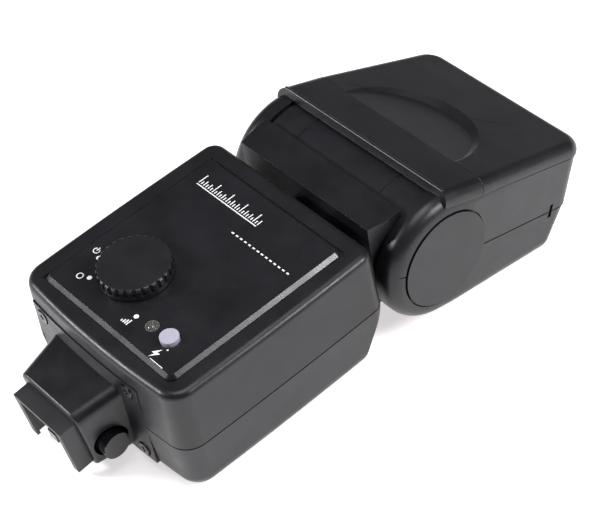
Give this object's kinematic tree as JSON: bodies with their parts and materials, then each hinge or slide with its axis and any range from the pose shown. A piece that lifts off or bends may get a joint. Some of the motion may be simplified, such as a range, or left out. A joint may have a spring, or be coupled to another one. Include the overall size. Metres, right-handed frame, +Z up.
{
  "type": "shoe-mount speedlight flash",
  "caption": "Shoe-mount speedlight flash lying on its front, with a tilting and swivelling head, a power dial, a test button and a locking foot.",
  "frame": {"origin": "on the resting surface, under the middle of the whole flash", "axes": "+Y from the foot end towards the lens, +Z up out of the control panel side, +X to the right seen from the foot end with the panel up"},
  "size_m": [0.0736, 0.1788, 0.0516],
  "materials": {
    "case_plastic": "fine matte moulded black",
    "panel_plastic": "fine matte black with soft sheen",
    "dial_plastic": "satin black, fluted",
    "button_grey": "pale lilac grey, satin",
    "lamp_clear": "clear lamp dome",
    "lens_clear": "ribbed clear prismatic sheet",
    "tube_glass": "clear quartz",
    "reflector_metal": "polished bright",
    "screw_steel": "dull steel",
    "axle_steel": "turned steel",
    "spring_steel": "drawn wire",
    "nickel": "nickel plated",
    "sole_metal": "bright stamped",
    "contact_brass": "gilt pins",
    "winding": "lacquered wire",
    "board_green": "solder resist",
    "chip_black": "epoxy",
    "switch_black": "moulded",
    "capacitor_sleeve": "shrink sleeve",
    "transformer_core": "taped ferrite core",
    "tray_plastic": "moulded",
    "cell_jacket": "plain label",
    "gloss_black": "glossy black",
    "sensor_red": "dark red tint",
    "foot_plastic": "matte black"
  },
  "bodies": {
    "body": {"back_cover": "case_plastic", "front_shell": "case_plastic", "case_screws": "screw_steel", "control_panel": "panel_plastic", "main_board": "board_green", "dial_potentiometer": "switch_black", "pilot_switch": "switch_black", "ready_lamp": "lamp_clear", "flash_capacitor": "capacitor_sleeve", "step_up_transformer": "transformer_core", "board_chips": "chip_black", "sensor_window": "sensor_red", "photo_sensor": "chip_black", "battery_tray": "tray_plastic", "battery_cells": "cell_jacket", "battery_contacts": "nickel", "door_hinge_pin": "axle_steel", "door_hinge_bracket": "tray_plastic", "swivel_collar": "axle_steel", "shoe_pedestal": "case_plastic", "pedestal_screws": "screw_steel", "shoe_foot": "foot_plastic", "shoe_sole": "sole_metal", "shoe_contacts": "contact_brass", "lock_spring": "spring_steel"},
    "dial": {"power_dial": "dial_plastic"},
    "pilot": {"pilot_button": "button_grey"},
    "lock": {"lock_button": "gloss_black"},
    "latch": {"lock_latch": "gloss_black"},
    "door": {"battery_door": "case_plastic", "door_contacts": "nickel"},
    "neck": {"swivel_spindle": "axle_steel", "retaining_ring": "axle_steel", "neck_housing": "case_plastic", "drum_strip": "case_plastic", "drum_cap_left": "case_plastic", "drum_cap_right": "case_plastic", "detent_ball": "nickel", "detent_spring": "spring_steel", "detent_stop": "switch_black"},
    "head": {"head_upper_casing": "case_plastic", "head_lower_casing": "case_plastic", "head_screws": "screw_steel", "head_top_cover": "case_plastic", "hinge_cover_left": "case_plastic", "hinge_cover_right": "case_plastic", "tilt_axle": "axle_steel", "lens_frame": "gloss_black", "fresnel_lens": "lens_clear", "reflector": "reflector_metal", "reflector_ends": "reflector_metal", "flash_tube": "tube_glass", "trigger_coil": "winding"}
  },
  "joints": [
    {"name": "neck_swivel", "type": "hinge", "parent": "body", "child": "neck", "pos_m": [0, 0.02775, 0.02829], "axis": [0, 0.996, 0.0889], "range_deg": [-180, 90]},
    {"name": "head_tilt", "type": "hinge", "parent": "neck", "child": "head", "pos_m": [0, 0.02775, 0.02829], "axis": [-1, 0, 0], "range_deg": [-20, 70]},
    {"name": "dial_turn", "type": "hinge", "parent": "body", "child": "dial", "pos_m": [-0.0088, -0.04772, 0.04374], "axis": [0, -0.0889, 0.996], "range_deg": [-135, 135]},
    {"name": "pilot_press", "type": "slide", "parent": "body", "child": "pilot", "axis": [0, 0.0889, -0.996], "range_m": [0, 0.0008], "stiffness_N_per_m": 800, "springref_m": -0.0008},
    {"name": "lock_press", "type": "slide", "parent": "body", "child": "lock", "axis": [-1, 0, 0], "range_m": [0, 0.0015], "stiffness_N_per_m": 600, "springref_m": -0.001, "deforming": ["lock_spring"]},
    {"name": "latch_retract", "type": "slide", "parent": "body", "child": "latch", "axis": [0, 0.9823, 0.1874], "range_m": [0, 0.0018]},
    {"name": "door_swing", "type": "hinge", "parent": "body", "child": "door", "pos_m": [-0.03395, -0.00403, 0.02887], "axis": [0, 0.0889, -0.996], "range_deg": [0, 100]}
  ],
  "couplings": [
    {"joint": "latch_retract", "follows": "lock_press", "ratio": 1.2}
  ]
}
